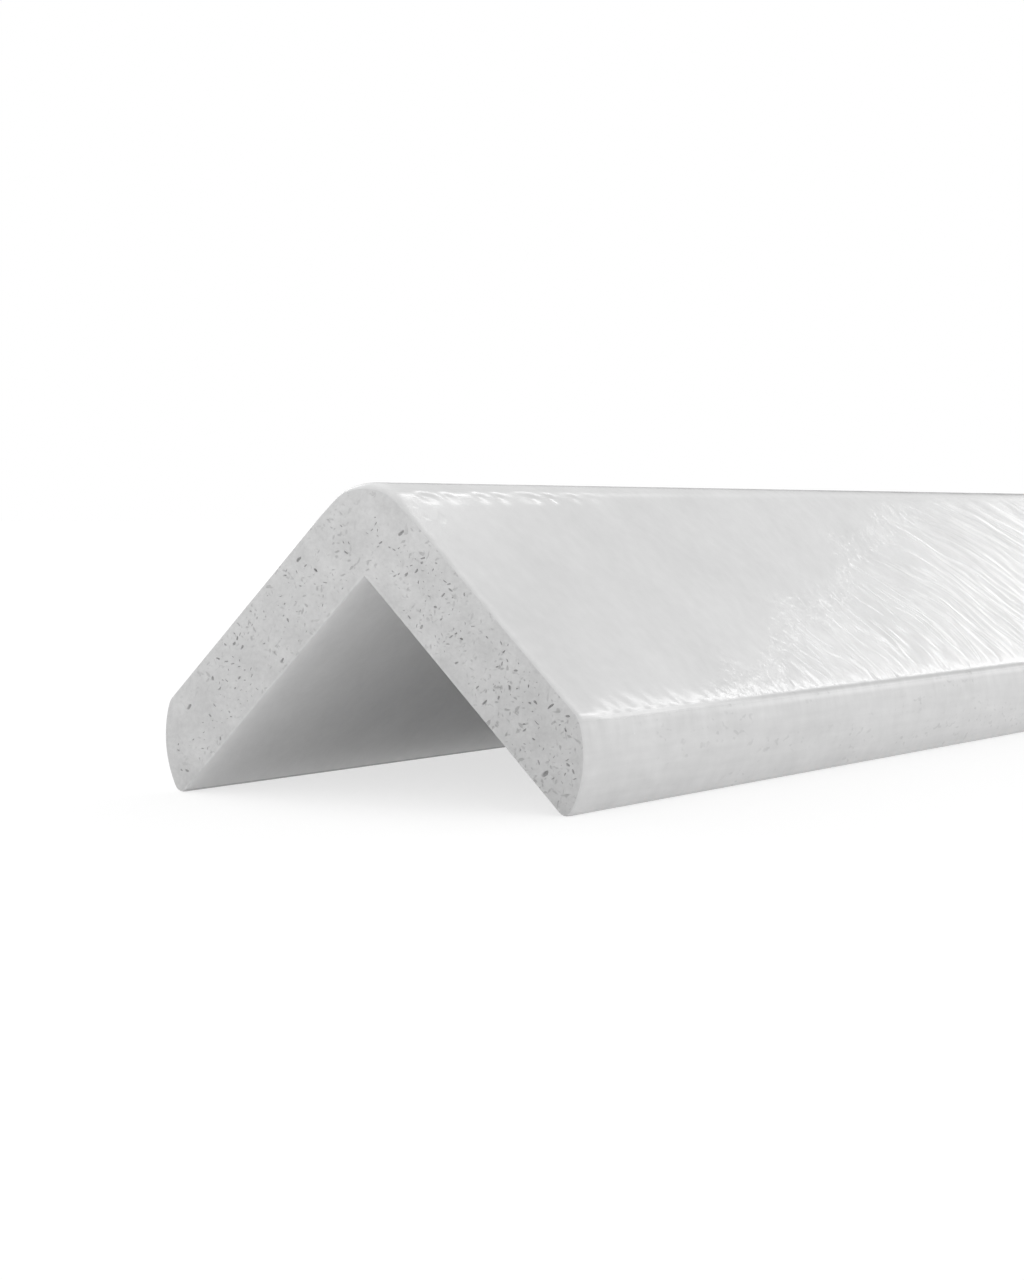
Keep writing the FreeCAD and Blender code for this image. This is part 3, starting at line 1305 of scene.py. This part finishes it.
@dataclass(frozen=True)
class LegEndMarks:
    """Shade of the crowned leg end: painted paler all over as painted light, with streaks, bands, blotches
    and flecks, and a foot painted darker as painted shade.

    Reaches are in metres, and a scale is how many features lie along one.
    """

    # Painted light: the whole leg end is painted paler than the faces.
    painted_light: float = 0.09
    edge: float = 1.2 * MM
    streaks: Marks = Marks(420.0, 70.0, 0.24)
    streak_reach: float = 6.0 * MM
    bands: Marks = Marks(45.0, 600.0, 0.18)
    blotches: Marks = Marks(150.0, 220.0, 0.16)
    flecks: Marks = Marks(520.0, 900.0, -0.14)
    fleck_span: tuple[float, float] = (0.58, 0.70)
    crowds: Marks = Marks(45.0, 160.0, 1.0)
    crowd_span: tuple[float, float] = (0.46, 0.60)
    crowd_start: tuple[float, float] = (10.0 * MM, 30.0 * MM)
    # Painted shade: the leg end is painted darker towards the lip at the floor.
    foot_painted_shade: float = 0.02
    foot_reach: tuple[float, float] = (4.5 * MM, 1.0 * MM)

    def shade(self, place: SkinPlace) -> Socket:
        """Change of shade over the leg end, with painted light over all of it and painted shade at its foot.

        Args:
            place: Where it is read.

        Returns:
            The change, 0 on the faces.
        """
        sheet, crown, lip = place.sheet, place.section.crown_length, place.section.lip_length
        above = sheet.ramp(place.down, crown, crown + self.streak_reach, 1.0, 0.0)
        foot = sheet.ramp(place.down, *(lip - reach for reach in self.foot_reach))
        change = sheet.plus(
            sheet.times(self._uneven(place, self.streaks), above), self._uneven(place, self.bands),
            self._uneven(place, self.blotches), self._flecks(place),
            sheet.times(foot, -self.foot_painted_shade), self.painted_light,
        )
        return sheet.times(change, sheet.ramp(place.down, crown - self.edge, crown))

    def _uneven(self, place: SkinPlace, marks: Marks) -> Socket:
        """Change of shade by one kind of marks, about zero on average."""
        return place.sheet.times(place.unevenness(marks.along_scale, marks.around_scale), marks.strength)

    def _flecks(self, place: SkinPlace) -> Socket:
        """Change of shade by dark flecks, which crowd together in places.

        Args:
            place: Where it is read.

        Returns:
            The change.
        """
        sheet, flecks, crowds = place.sheet, self.flecks, self.crowds
        found = sheet.ramp(place.noise(flecks.along_scale, flecks.around_scale, 1.0), *self.fleck_span)
        crowd = sheet.ramp(place.noise(crowds.along_scale, crowds.around_scale), *self.crowd_span)
        begun = sheet.ramp(place.along, *self.crowd_start)
        return sheet.times(found, crowd, begun, flecks.strength)


@dataclass(frozen=True)
class SkinFinish(Finish):
    """Satin skin of the outer faces and the leg ends, with its finest folds and marks, and with painted
    sheen, highlights, light and shade in its colour.

    Depths, reaches and widths are in metres, and a scale is how many features lie along one.
    """

    name: str = "moulded_skin"
    grey: float = 0.80
    spread: float = 0.11
    mottle_scale: float = 70.0
    roughness: float = 0.22
    roughness_spread: float = 0.15
    specular: float = 0.5
    grain_scale: float = 700.0
    grain_depth: float = 0.012 * MM
    stroke_depth: float = 0.028 * MM
    stroke_fineness: float = 1.8
    groove_depth: float = 0.03 * MM
    groove_fineness: float = 0.6
    groove_width: float = 0.05
    pebble_depth: float = 0.05 * MM
    pebble_scale: float = 420.0
    pebble_span: tuple[float, float] = (0.35, 0.65)
    pebble_zone: float = 0.2
    dimple_depth: float = 0.014 * MM
    dimple_scale: float = 420.0
    dimple_span: tuple[float, float] = (0.60, 0.76)
    dimple_end: tuple[float, float] = (6.0 * MM, 20.0 * MM)
    dimple_place: float = 3.5 * MM
    dimple_width: float = 5.5 * MM
    # Painted sheen: the folded skin is painted paler in place of the gloss that its folds catch.
    folded_painted_sheen: float = 0.04
    # Painted highlights: paler skin beside the front cut and on the ridge's rounded rim.
    cut_painted_highlight: float = 0.09
    cut_patch_scale: float = 300.0
    cut_reach: tuple[float, float] = (0.4 * MM, 2.6 * MM)
    rim_painted_highlight: float = 0.12
    rim_reach: tuple[float, float] = (1.0 * MM, 4.0 * MM)
    rim_width: float = 11.0 * MM
    # Painted shade in the shoulder's crease, and a painted highlight on the line below it.
    crease_painted_shade: float = 0.20
    crease_roughness: float = 0.5
    crease_painted_highlight: float = 0.16
    crease_width: float = 0.75 * MM
    crease_light_drop: float = 1.0 * MM
    leg_end: LegEndMarks = LegEndMarks()

    def material(self, groups: SurfaceGroups, section: Section, crinkles: Crinkles) -> bpy.types.Material:
        """The finish as a material.

        Args:
            groups: The shared node groups.
            section: The guard's section.
            crinkles: Where the folds lie.

        Returns:
            The material.
        """
        made, sheet, sockets = self.start(groups)
        around = sheet.add("ShaderNodeAttribute", attribute_name="around").outputs["Fac"]
        along = sheet.add("ShaderNodeAttribute", attribute_name="from_cut").outputs["Fac"]
        place = SkinPlace(sheet, section, around, along)
        strength = crinkles.strength(place)
        folds, pebbles = self._folds(place, crinkles, strength), self._pebbles(place, crinkles)
        depth = sheet.plus(folds, pebbles, self._dimples(place))
        height = sheet.math("SUBTRACT", sockets["height"], depth)
        dull, light = self._crease(place, crinkles)
        # Painted light and shade in the colour: sheen on the folds, highlights beside the cut and below the
        # crease, light on the leg end, and shade in the crease and at the leg end's foot.
        shade = sheet.plus(
            sheet.times(strength, self.folded_painted_sheen), self._beside_cut(place), self.leg_end.shade(place),
            sheet.times(dull, -self.crease_painted_shade), sheet.times(light, self.crease_painted_highlight), 1.0,
        )
        roughness = sheet.plus(sockets["roughness"], sheet.times(dull, self.crease_roughness))
        return self.end(made, sheet, sheet.scaled(sockets["color"], shade), roughness, height)

    def _folds(self, place: SkinPlace, crinkles: Crinkles, strength: Value) -> Socket:
        """Depth of the fine folds, and of the broad ones where the mesh no longer carries them.

        Args:
            place: Where it is read.
            crinkles: Where the folds lie.
            strength: How strongly the skin is folded.

        Returns:
            The depth in metres.
        """
        sheet = place.sheet
        beyond = sheet.math("SUBTRACT", 1.0, crinkles.in_mesh(place))
        broad = sheet.times(crinkles.swells(place), beyond, crinkles.height)
        strokes = sheet.ramp(crinkles.strokes(place, self.stroke_fineness), *SPAN)
        grooves = sheet.bump(crinkles.strokes(place, self.groove_fineness), 0.5, self.groove_width)
        fine = sheet.plus(sheet.times(strokes, self.stroke_depth), sheet.times(grooves, self.groove_depth))
        return sheet.plus(broad, sheet.times(fine, strength))

    def _pebbles(self, place: SkinPlace, crinkles: Crinkles) -> Socket:
        """Depth of the soft pebbled skin where the folds begin.

        Args:
            place: Where it is read.
            crinkles: Where the folds lie.

        Returns:
            The depth in metres.
        """
        sheet, begun = place.sheet, crinkles.begun(place)
        halfway = sheet.times(begun, sheet.math("SUBTRACT", 1.0, begun))
        begin = sheet.ramp(halfway, 0.0, self.pebble_zone)
        pebbles = sheet.ramp(place.noise(self.pebble_scale, self.pebble_scale), *self.pebble_span)
        return sheet.times(pebbles, begin, crinkles.on_face(place), self.pebble_depth)

    def _dimples(self, place: SkinPlace) -> Socket:
        """Depth of a few small dimples beside the outer corner, close behind the front cut.

        Args:
            place: Where it is read.

        Returns:
            The depth in metres.
        """
        sheet = place.sheet
        near = sheet.ramp(place.along, *self.dimple_end, 1.0, 0.0)
        beside = sheet.bump(place.down, place.section.corner_length + self.dimple_place, self.dimple_width)
        spots = sheet.ramp(place.noise(self.dimple_scale, self.dimple_scale, 0.0), *self.dimple_span)
        return sheet.times(spots, near, beside, self.dimple_depth)

    def _beside_cut(self, place: SkinPlace) -> Socket:
        """Painted highlight: the skin beside the front cut is painted paler, patchy on the faces and even
        over the ridge.

        Args:
            place: Where it is read.

        Returns:
            The change of shade.
        """
        sheet, section = place.sheet, place.section
        patchy = sheet.ramp(place.noise(self.cut_patch_scale, self.cut_patch_scale), *SPAN)
        near = sheet.ramp(place.along, *self.cut_reach, 1.0, 0.0)
        off_leg_end = sheet.ramp(place.down, section.shoulder_length, section.crown_length, 1.0, 0.0)
        on_ridge = sheet.bump(place.down, 0.0, self.rim_width)
        rim = sheet.times(sheet.ramp(place.along, *self.rim_reach, 1.0, 0.0), on_ridge)
        pale = sheet.times(near, patchy, off_leg_end, self.cut_painted_highlight)
        return sheet.plus(pale, sheet.times(rim, self.rim_painted_highlight))

    def _crease(self, place: SkinPlace, crinkles: Crinkles) -> tuple[Socket, Socket]:
        """Masks of the shoulder's crease, which is dull inside and painted darker as painted shade, and of
        the line below it, painted paler as a painted highlight.

        Args:
            place: Where they are read.
            crinkles: How far the crease has formed.

        Returns:
            The two masks.
        """
        sheet, middle = place.sheet, place.section.crease_length
        formed = crinkles.creased(place)
        dull = sheet.bump(place.down, middle, self.crease_width)
        light = sheet.bump(place.down, middle + self.crease_light_drop, self.crease_width)
        return sheet.times(dull, formed), sheet.times(light, formed)


@dataclass(frozen=True)
class BackFinish(Finish):
    """Dull skin of the faces that lie on the wall. Daylight shines through the foam behind it."""

    name: str = "back_skin"
    grey: float = 0.82
    spread: float = 0.10
    mottle_scale: float = 120.0
    roughness: float = 0.65
    roughness_spread: float = 0.1
    specular: float = 0.4
    grain_scale: float = 1200.0
    grain_depth: float = 0.02 * MM
    translucency: float = 0.95
    reach: float = 24.0 * MM

    def material(self, groups: SurfaceGroups) -> bpy.types.Material:
        """The finish as a material.

        Args:
            groups: The shared node groups.

        Returns:
            The material.
        """
        made, sheet, sockets = self.start(groups)
        shader = made.node_tree.nodes["Principled BSDF"]
        shader.inputs["Subsurface Weight"].default_value = self.translucency
        shader.inputs["Subsurface Radius"].default_value = (1.0, 1.0, 1.0)
        shader.inputs["Subsurface Scale"].default_value = self.reach
        return self.end(made, sheet, sockets["color"], sockets["roughness"], sockets["height"])


@dataclass(frozen=True)
class FoamFinish(Finish):
    """Bare foam of the cuts, flecked with small cells, painted darker inside its pores and cells, towards
    the bottom and towards the +X side as painted shade, and painted paler along the back edge as a painted
    highlight.

    Depths and spans along an axis are in metres, and a scale is how many features lie along one.
    """

    name: str = "cut_foam"
    grey: float = 0.85
    spread: float = 0.27
    mottle_scale: float = 220.0
    roughness: float = 0.85
    roughness_spread: float = 0.1
    specular: float = 0.3
    grain_scale: float = 2000.0
    grain_depth: float = 0.06 * MM
    # Painted shade inside the pores.
    pore_painted_shade: float = 0.34
    # Painted shade: the cut is painted darker towards the bottom and towards the +X side.
    low_painted_shade: float = 0.06
    side_painted_shade: float = 0.06
    side_span: tuple[float, float] = (5.0 * MM, 32.0 * MM)
    # Painted highlight: a thin paler line along the back edge of the cut.
    rim_painted_highlight: float = 0.07
    rim_span: tuple[float, float] = (0.7 * MM, 0.3 * MM)
    # Painted shade in the small cells.
    fleck_painted_shade: float = 0.26
    fleck_depth: float = 0.06 * MM
    fleck_angles: tuple[float, ...] = (0.1, 0.75, 1.5, 2.5)
    fleck_scales: tuple[float, float] = (600.0, 1250.0)
    fleck_span: tuple[float, float] = (0.65, 0.75)
    fleck_apart: float = 7.0
    crowd_scale: float = 110.0
    crowd_span: tuple[float, float] = (0.40, 0.60)
    sparsest: float = 0.15
    calm_end_span: tuple[float, float] = (-33.0 * MM, -26.0 * MM)
    calm_end: float = 0.3

    def material(self, groups: SurfaceGroups, section: Section) -> bpy.types.Material:
        """The finish as a material.

        Args:
            groups: The shared node groups.
            section: The guard's section.

        Returns:
            The material.
        """
        made, sheet, sockets = self.start(groups)
        here = sockets["here"]
        pore = sheet.add("ShaderNodeAttribute", attribute_name="pore").outputs["Fac"]
        fleck = self._flecks(sheet, here)
        below = sheet.math("SUBTRACT", section.corner_height, sheet.axis(here, "Z"))
        depth = sheet.math("SUBTRACT", below, sheet.math("ABSOLUTE", sheet.axis(here, "X")))
        depth = sheet.times(depth, math.sqrt(0.5))
        rim = sheet.ramp(depth, *(section.sizes.wall - away for away in self.rim_span))
        low = sheet.ramp(below, 0.0, section.corner_height)
        side_shaded = sheet.ramp(sheet.axis(here, "X"), *self.side_span)
        # Painted shade in the pores, the cells, low down and towards +X, and a painted highlight along the
        # back edge.
        shade = sheet.plus(
            sheet.times(pore, -self.pore_painted_shade), sheet.times(fleck, -self.fleck_painted_shade),
            sheet.times(low, -self.low_painted_shade), sheet.times(side_shaded, -self.side_painted_shade),
            sheet.times(rim, self.rim_painted_highlight), 1.0,
        )
        height = sheet.plus(sockets["height"], sheet.times(fleck, -self.fleck_depth))
        color = sheet.scaled(sockets["color"], shade)
        return self.end(made, sheet, color, sockets["roughness"], height)

    def _flecks(self, sheet: NodeSheet, here: Value) -> Socket:
        """Small cells, crowded in patches, each drawn out in one of a few directions; their mask gets
        painted shade.

        Args:
            sheet: Where the nodes go.
            here: Where it is read.

        Returns:
            A mask, 1 in the cells.
        """
        crowd = sheet.ramp(sheet.noise(here, self.crowd_scale), *self.crowd_span, self.sparsest, 1.0)
        calm_end = sheet.ramp(sheet.axis(here, "X"), *self.calm_end_span, self.calm_end, 1.0)
        found = 0.0
        for number, angle in enumerate(self.fleck_angles):
            ways = ((math.cos(angle), 0.0, math.sin(angle)), (-math.sin(angle), 0.0, math.cos(angle)))
            drawn, thin = (
                sheet.times(sheet.vectors("DOT_PRODUCT", here, way), scale)
                for way, scale in zip(ways, self.fleck_scales)
            )
            cells = sheet.noise(sheet.vector(drawn, thin, self.fleck_apart * number), 1.0, 1.0)
            found = sheet.math("MAXIMUM", sheet.ramp(cells, *self.fleck_span), found)
        return sheet.times(found, crowd, calm_end)


@dataclass
class CornerGuard:
    """The guard: one moulded piece, its skin closed by a porous cut at each end."""

    length: float
    section: Section = Section()
    crinkles: Crinkles = Crinkles()
    front_seed: int = 5
    rear_seed: int = 23
    smooth_angle: float = math.radians(48)

    def build(self) -> bpy.types.Object:
        """Makes the guard with its finishes.

        Returns:
            The guard as one closed mesh.
        """
        groups = SurfaceGroups()
        outside = SkinFinish().material(groups, self.section, self.crinkles)
        back, foam = BackFinish().material(groups), FoamFinish().material(groups, self.section)
        skin = Skin(self.length, self.section, self.crinkles)
        tube = skin.build()
        skin.press(tube, outside, back)
        cuts = [PorousCut(Cut.FRONT, self.front_seed, BIG_PORES), PorousCut(Cut.REAR, self.rear_seed)]
        parts = [tube] + [cut.build(tube, self.section, self.length, foam) for cut in cuts]
        for part in parts:
            mesh = part.data
            log.info("%s: %d vertices, %d faces", part.name, len(mesh.vertices), len(mesh.polygons))
        return self._close(parts)

    def _close(self, parts: list[bpy.types.Object]) -> bpy.types.Object:
        """Joins the skin and the cuts where their edges meet.

        Args:
            parts: The skin and the two cuts.

        Returns:
            The skin's object, which now holds them all.
        """
        guard = parts[0]
        bpy.ops.object.select_all(action="DESELECT")
        for part in parts:
            part.select_set(True)
        bpy.context.view_layer.objects.active = guard
        bpy.ops.object.join()
        work = bmesh.new()
        work.from_mesh(guard.data)
        rims = [vertex for vertex in work.verts if vertex.is_boundary]
        bmesh.ops.remove_doubles(work, verts=rims, dist=WELD)
        open_edges = sum(not edge.is_manifold for edge in work.edges)
        if open_edges:
            raise RuntimeError(f"the guard's mesh is open at {open_edges} edges")
        bmesh.ops.recalc_face_normals(work, faces=work.faces)
        work.to_mesh(guard.data)
        work.free()
        guard.data.shade_smooth()
        guard.data.set_sharp_from_angle(angle=self.smooth_angle)
        return guard


@dataclass(frozen=True)
class Stand:
    """Where a lamp or a flag of the studio stands, seen from the near end, and its size.

    Angles are in degrees and lengths in metres. The azimuth is counted from the guard's length.
    """

    name: str
    azimuth: float
    elevation: float
    distance: float
    width: float
    height: float

    @property
    def way(self) -> Vector:
        """Unit vector from the near end to the stand.

        Returns:
            The vector.
        """
        azimuth, elevation = math.radians(self.azimuth), math.radians(self.elevation)
        level = math.cos(elevation)
        return Vector((math.sin(azimuth) * level, math.cos(azimuth) * level, math.sin(elevation)))


@dataclass(frozen=True)
class Softbox(Stand):
    """A soft lamp."""

    brightness: float

    def build(self, target: Vector) -> None:
        """Makes the lamp.

        Args:
            target: What it points at.
        """
        light = bpy.data.lights.new(self.name, "AREA")
        light.shape, light.size, light.size_y = "RECTANGLE", self.width, self.height
        light.energy = self.brightness * math.pi * self.width * self.height
        lamp = bpy.data.objects.new(self.name, light)
        lamp.location = target + self.way * self.distance
        lamp.rotation_euler = (-self.way).to_track_quat("-Z", "Y").to_euler()
        bpy.context.scene.collection.objects.link(lamp)


@dataclass(frozen=True)
class Flag(Stand):
    """A graded card that only shows in reflections, where it draws the ridge of the outer corner.

    Its grey goes from the foot's to the top's over a span of heights above the floor.
    """

    foot_grey: float
    top_grey: float
    graded: tuple[float, float] = (0.27, 0.44)

    def build(self, target: Vector) -> None:
        """Makes the card.

        Args:
            target: What it faces.
        """
        across = self.way.cross(Vector((0.0, 0.0, 1.0))).normalized()
        half_width, half_height = across * self.width / 2, across.cross(self.way) * self.height / 2
        centre = target + self.way * self.distance
        signs = ((-1, -1), (1, -1), (1, 1), (-1, 1))
        mesh = bpy.data.meshes.new(self.name)
        mesh.from_pydata([centre + half_width * x + half_height * y for x, y in signs], [], [(0, 1, 2, 3)])
        card = new_object(self.name, mesh)
        card.visible_camera = card.visible_diffuse = card.visible_shadow = False
        made = bpy.data.materials.new(self.name)
        made.use_nodes = True
        nodes = made.node_tree.nodes
        nodes.remove(nodes["Principled BSDF"])
        sheet = NodeSheet(made.node_tree)
        height = sheet.axis(sheet.add("ShaderNodeTexCoord").outputs["Object"], "Z")
        grey = sheet.ramp(height, *self.graded, self.foot_grey, self.top_grey)
        shine = sheet.out("ShaderNodeEmission", {"Strength": grey})
        made.node_tree.links.new(shine, nodes["Material Output"].inputs["Surface"])
        mesh.materials.append(made)


@dataclass
class Studio:
    """Plain white surroundings with a pale floor and soft light."""

    sky: float = 0.74
    floor_reach: float = 12.0
    floor_grey: float = 0.8
    floor_shade: float = 0.38
    floor_glow: tuple[float, float] = (0.69, 0.78)
    glow_reach: tuple[float, float] = (0.5, 1.4)
    target: tuple[float, float, float] = (0.01, -0.42, 0.03)
    softboxes: tuple[Softbox, ...] = (
        Softbox("corner_softbox", -5.0, 35.0, 1.5, 0.12, 0.13, brightness=6.0),
        Softbox("shoulder_softbox", 14.8, 25.0, 1.5, 0.18, 0.44, brightness=4.3),
        Softbox("back_softbox", 2.0, 13.0, 1.8, 0.70, 0.30, brightness=1.55),
        Softbox("side_softbox", -75.0, 32.0, 2.2, 1.20, 1.20, brightness=2.3),
    )
    flag: Flag = Flag("ridge_flag", -26.0, 12.0, 1.5, 0.62, 0.80, foot_grey=0.0, top_grey=0.82)

    def build(self) -> None:
        """Makes the world, the floor, the lamps and the flag."""
        self._world()
        self._floor()
        for stand in (*self.softboxes, self.flag):
            stand.build(Vector(self.target))

    def _world(self) -> None:
        """White to the camera and in reflections, and a plain light for the rest."""
        world = bpy.data.worlds.new("white_room")
        bpy.context.scene.world = world
        world.use_nodes = True
        sheet = NodeSheet(world.node_tree)
        background = world.node_tree.nodes["Background"]
        background.inputs["Color"].default_value = (1.0, 1.0, 1.0, 1.0)
        path = sheet.add("ShaderNodeLightPath").outputs
        seen = sheet.math("MAXIMUM", path["Is Glossy Ray"], path["Is Transmission Ray"])
        seen = sheet.math("MAXIMUM", path["Is Camera Ray"], seen)
        sheet.put(background.inputs["Strength"], sheet.ramp(seen, 0.0, 1.0, self.sky, 1.0))

    def _floor(self) -> None:
        """A pale floor that looks white and keeps the guard's soft shadow.

        Its glow to the camera makes up for what it lacks to white: a little more far from the lamps.
        """
        reach = self.floor_reach
        corners = [(-reach, -reach, 0.0), (reach, -reach, 0.0), (reach, reach, 0.0), (-reach, reach, 0.0)]
        mesh = bpy.data.meshes.new("floor")
        mesh.from_pydata(corners, [], [(0, 1, 2, 3)])
        floor = new_object("floor", mesh)
        made = bpy.data.materials.new("pale_floor")
        made.use_nodes = True
        nodes, links = made.node_tree.nodes, made.node_tree.links
        nodes.remove(nodes["Principled BSDF"])
        sheet = NodeSheet(made.node_tree)
        away = sheet.add("ShaderNodeTexCoord").outputs["Object"]
        away = sheet.add("ShaderNodeVectorMath", {"Vector": away}, operation="LENGTH").outputs["Value"]
        glow = sheet.ramp(away, *self.glow_reach, *self.floor_glow)
        plain = sheet.out("ShaderNodeBsdfDiffuse", {"Color": (*[self.floor_grey] * 3, 1.0)})
        shown = sheet.out("ShaderNodeBsdfDiffuse", {"Color": (*[self.floor_shade] * 3, 1.0)})
        both = sheet.add("ShaderNodeAddShader")
        links.new(shown, both.inputs[0])
        links.new(sheet.out("ShaderNodeEmission", {"Strength": glow}), both.inputs[1])
        path = sheet.add("ShaderNodeLightPath").outputs
        seen = sheet.math("MAXIMUM", path["Is Camera Ray"], path["Is Glossy Ray"])
        mix = sheet.add("ShaderNodeMixShader")
        for socket, value in zip(mix.inputs, (seen, plain, both.outputs[0])):
            links.new(value, socket)
        links.new(mix.outputs[0], nodes["Material Output"].inputs["Surface"])
        mesh.materials.append(made)


@dataclass
class PhotoCamera:
    """The camera at the photo's place, low beside the near end of the stock."""

    place: tuple[float, float, float] = (0.2287, -0.8367, 0.0425)
    turn: float = math.radians(31.14)
    dip: float = math.radians(-2.59)
    lens: float = 78.04

    def build(self) -> None:
        """Makes the camera and sets the plain view transform."""
        camera = bpy.data.objects.new("photo_camera", bpy.data.cameras.new("photo_camera"))
        bpy.context.scene.collection.objects.link(camera)
        camera.data.lens = self.lens
        camera.data.clip_start, camera.data.clip_end = 0.01, 100.0
        camera.location = self.place
        camera.rotation_euler = (math.pi / 2 + self.dip, 0.0, self.turn)
        bpy.context.scene.camera = camera
        bpy.context.scene.view_settings.view_transform = "Standard"


def main() -> None:
    """Builds the guard, its surroundings and the camera."""
    logging.basicConfig(level=logging.INFO, format="%(name)s: %(message)s")
    low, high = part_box(NODE)
    guard = CornerGuard(length=high[1] - low[1]).build()
    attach(guard, BODY)
    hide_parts(NODE)
    triangles = sum(len(face.vertices) - 2 for face in guard.data.polygons)
    log.info("%s: one closed mesh of %d triangles", guard.name, triangles)
    Studio().build()
    PhotoCamera().build()


if __name__ == "__main__":
    main()
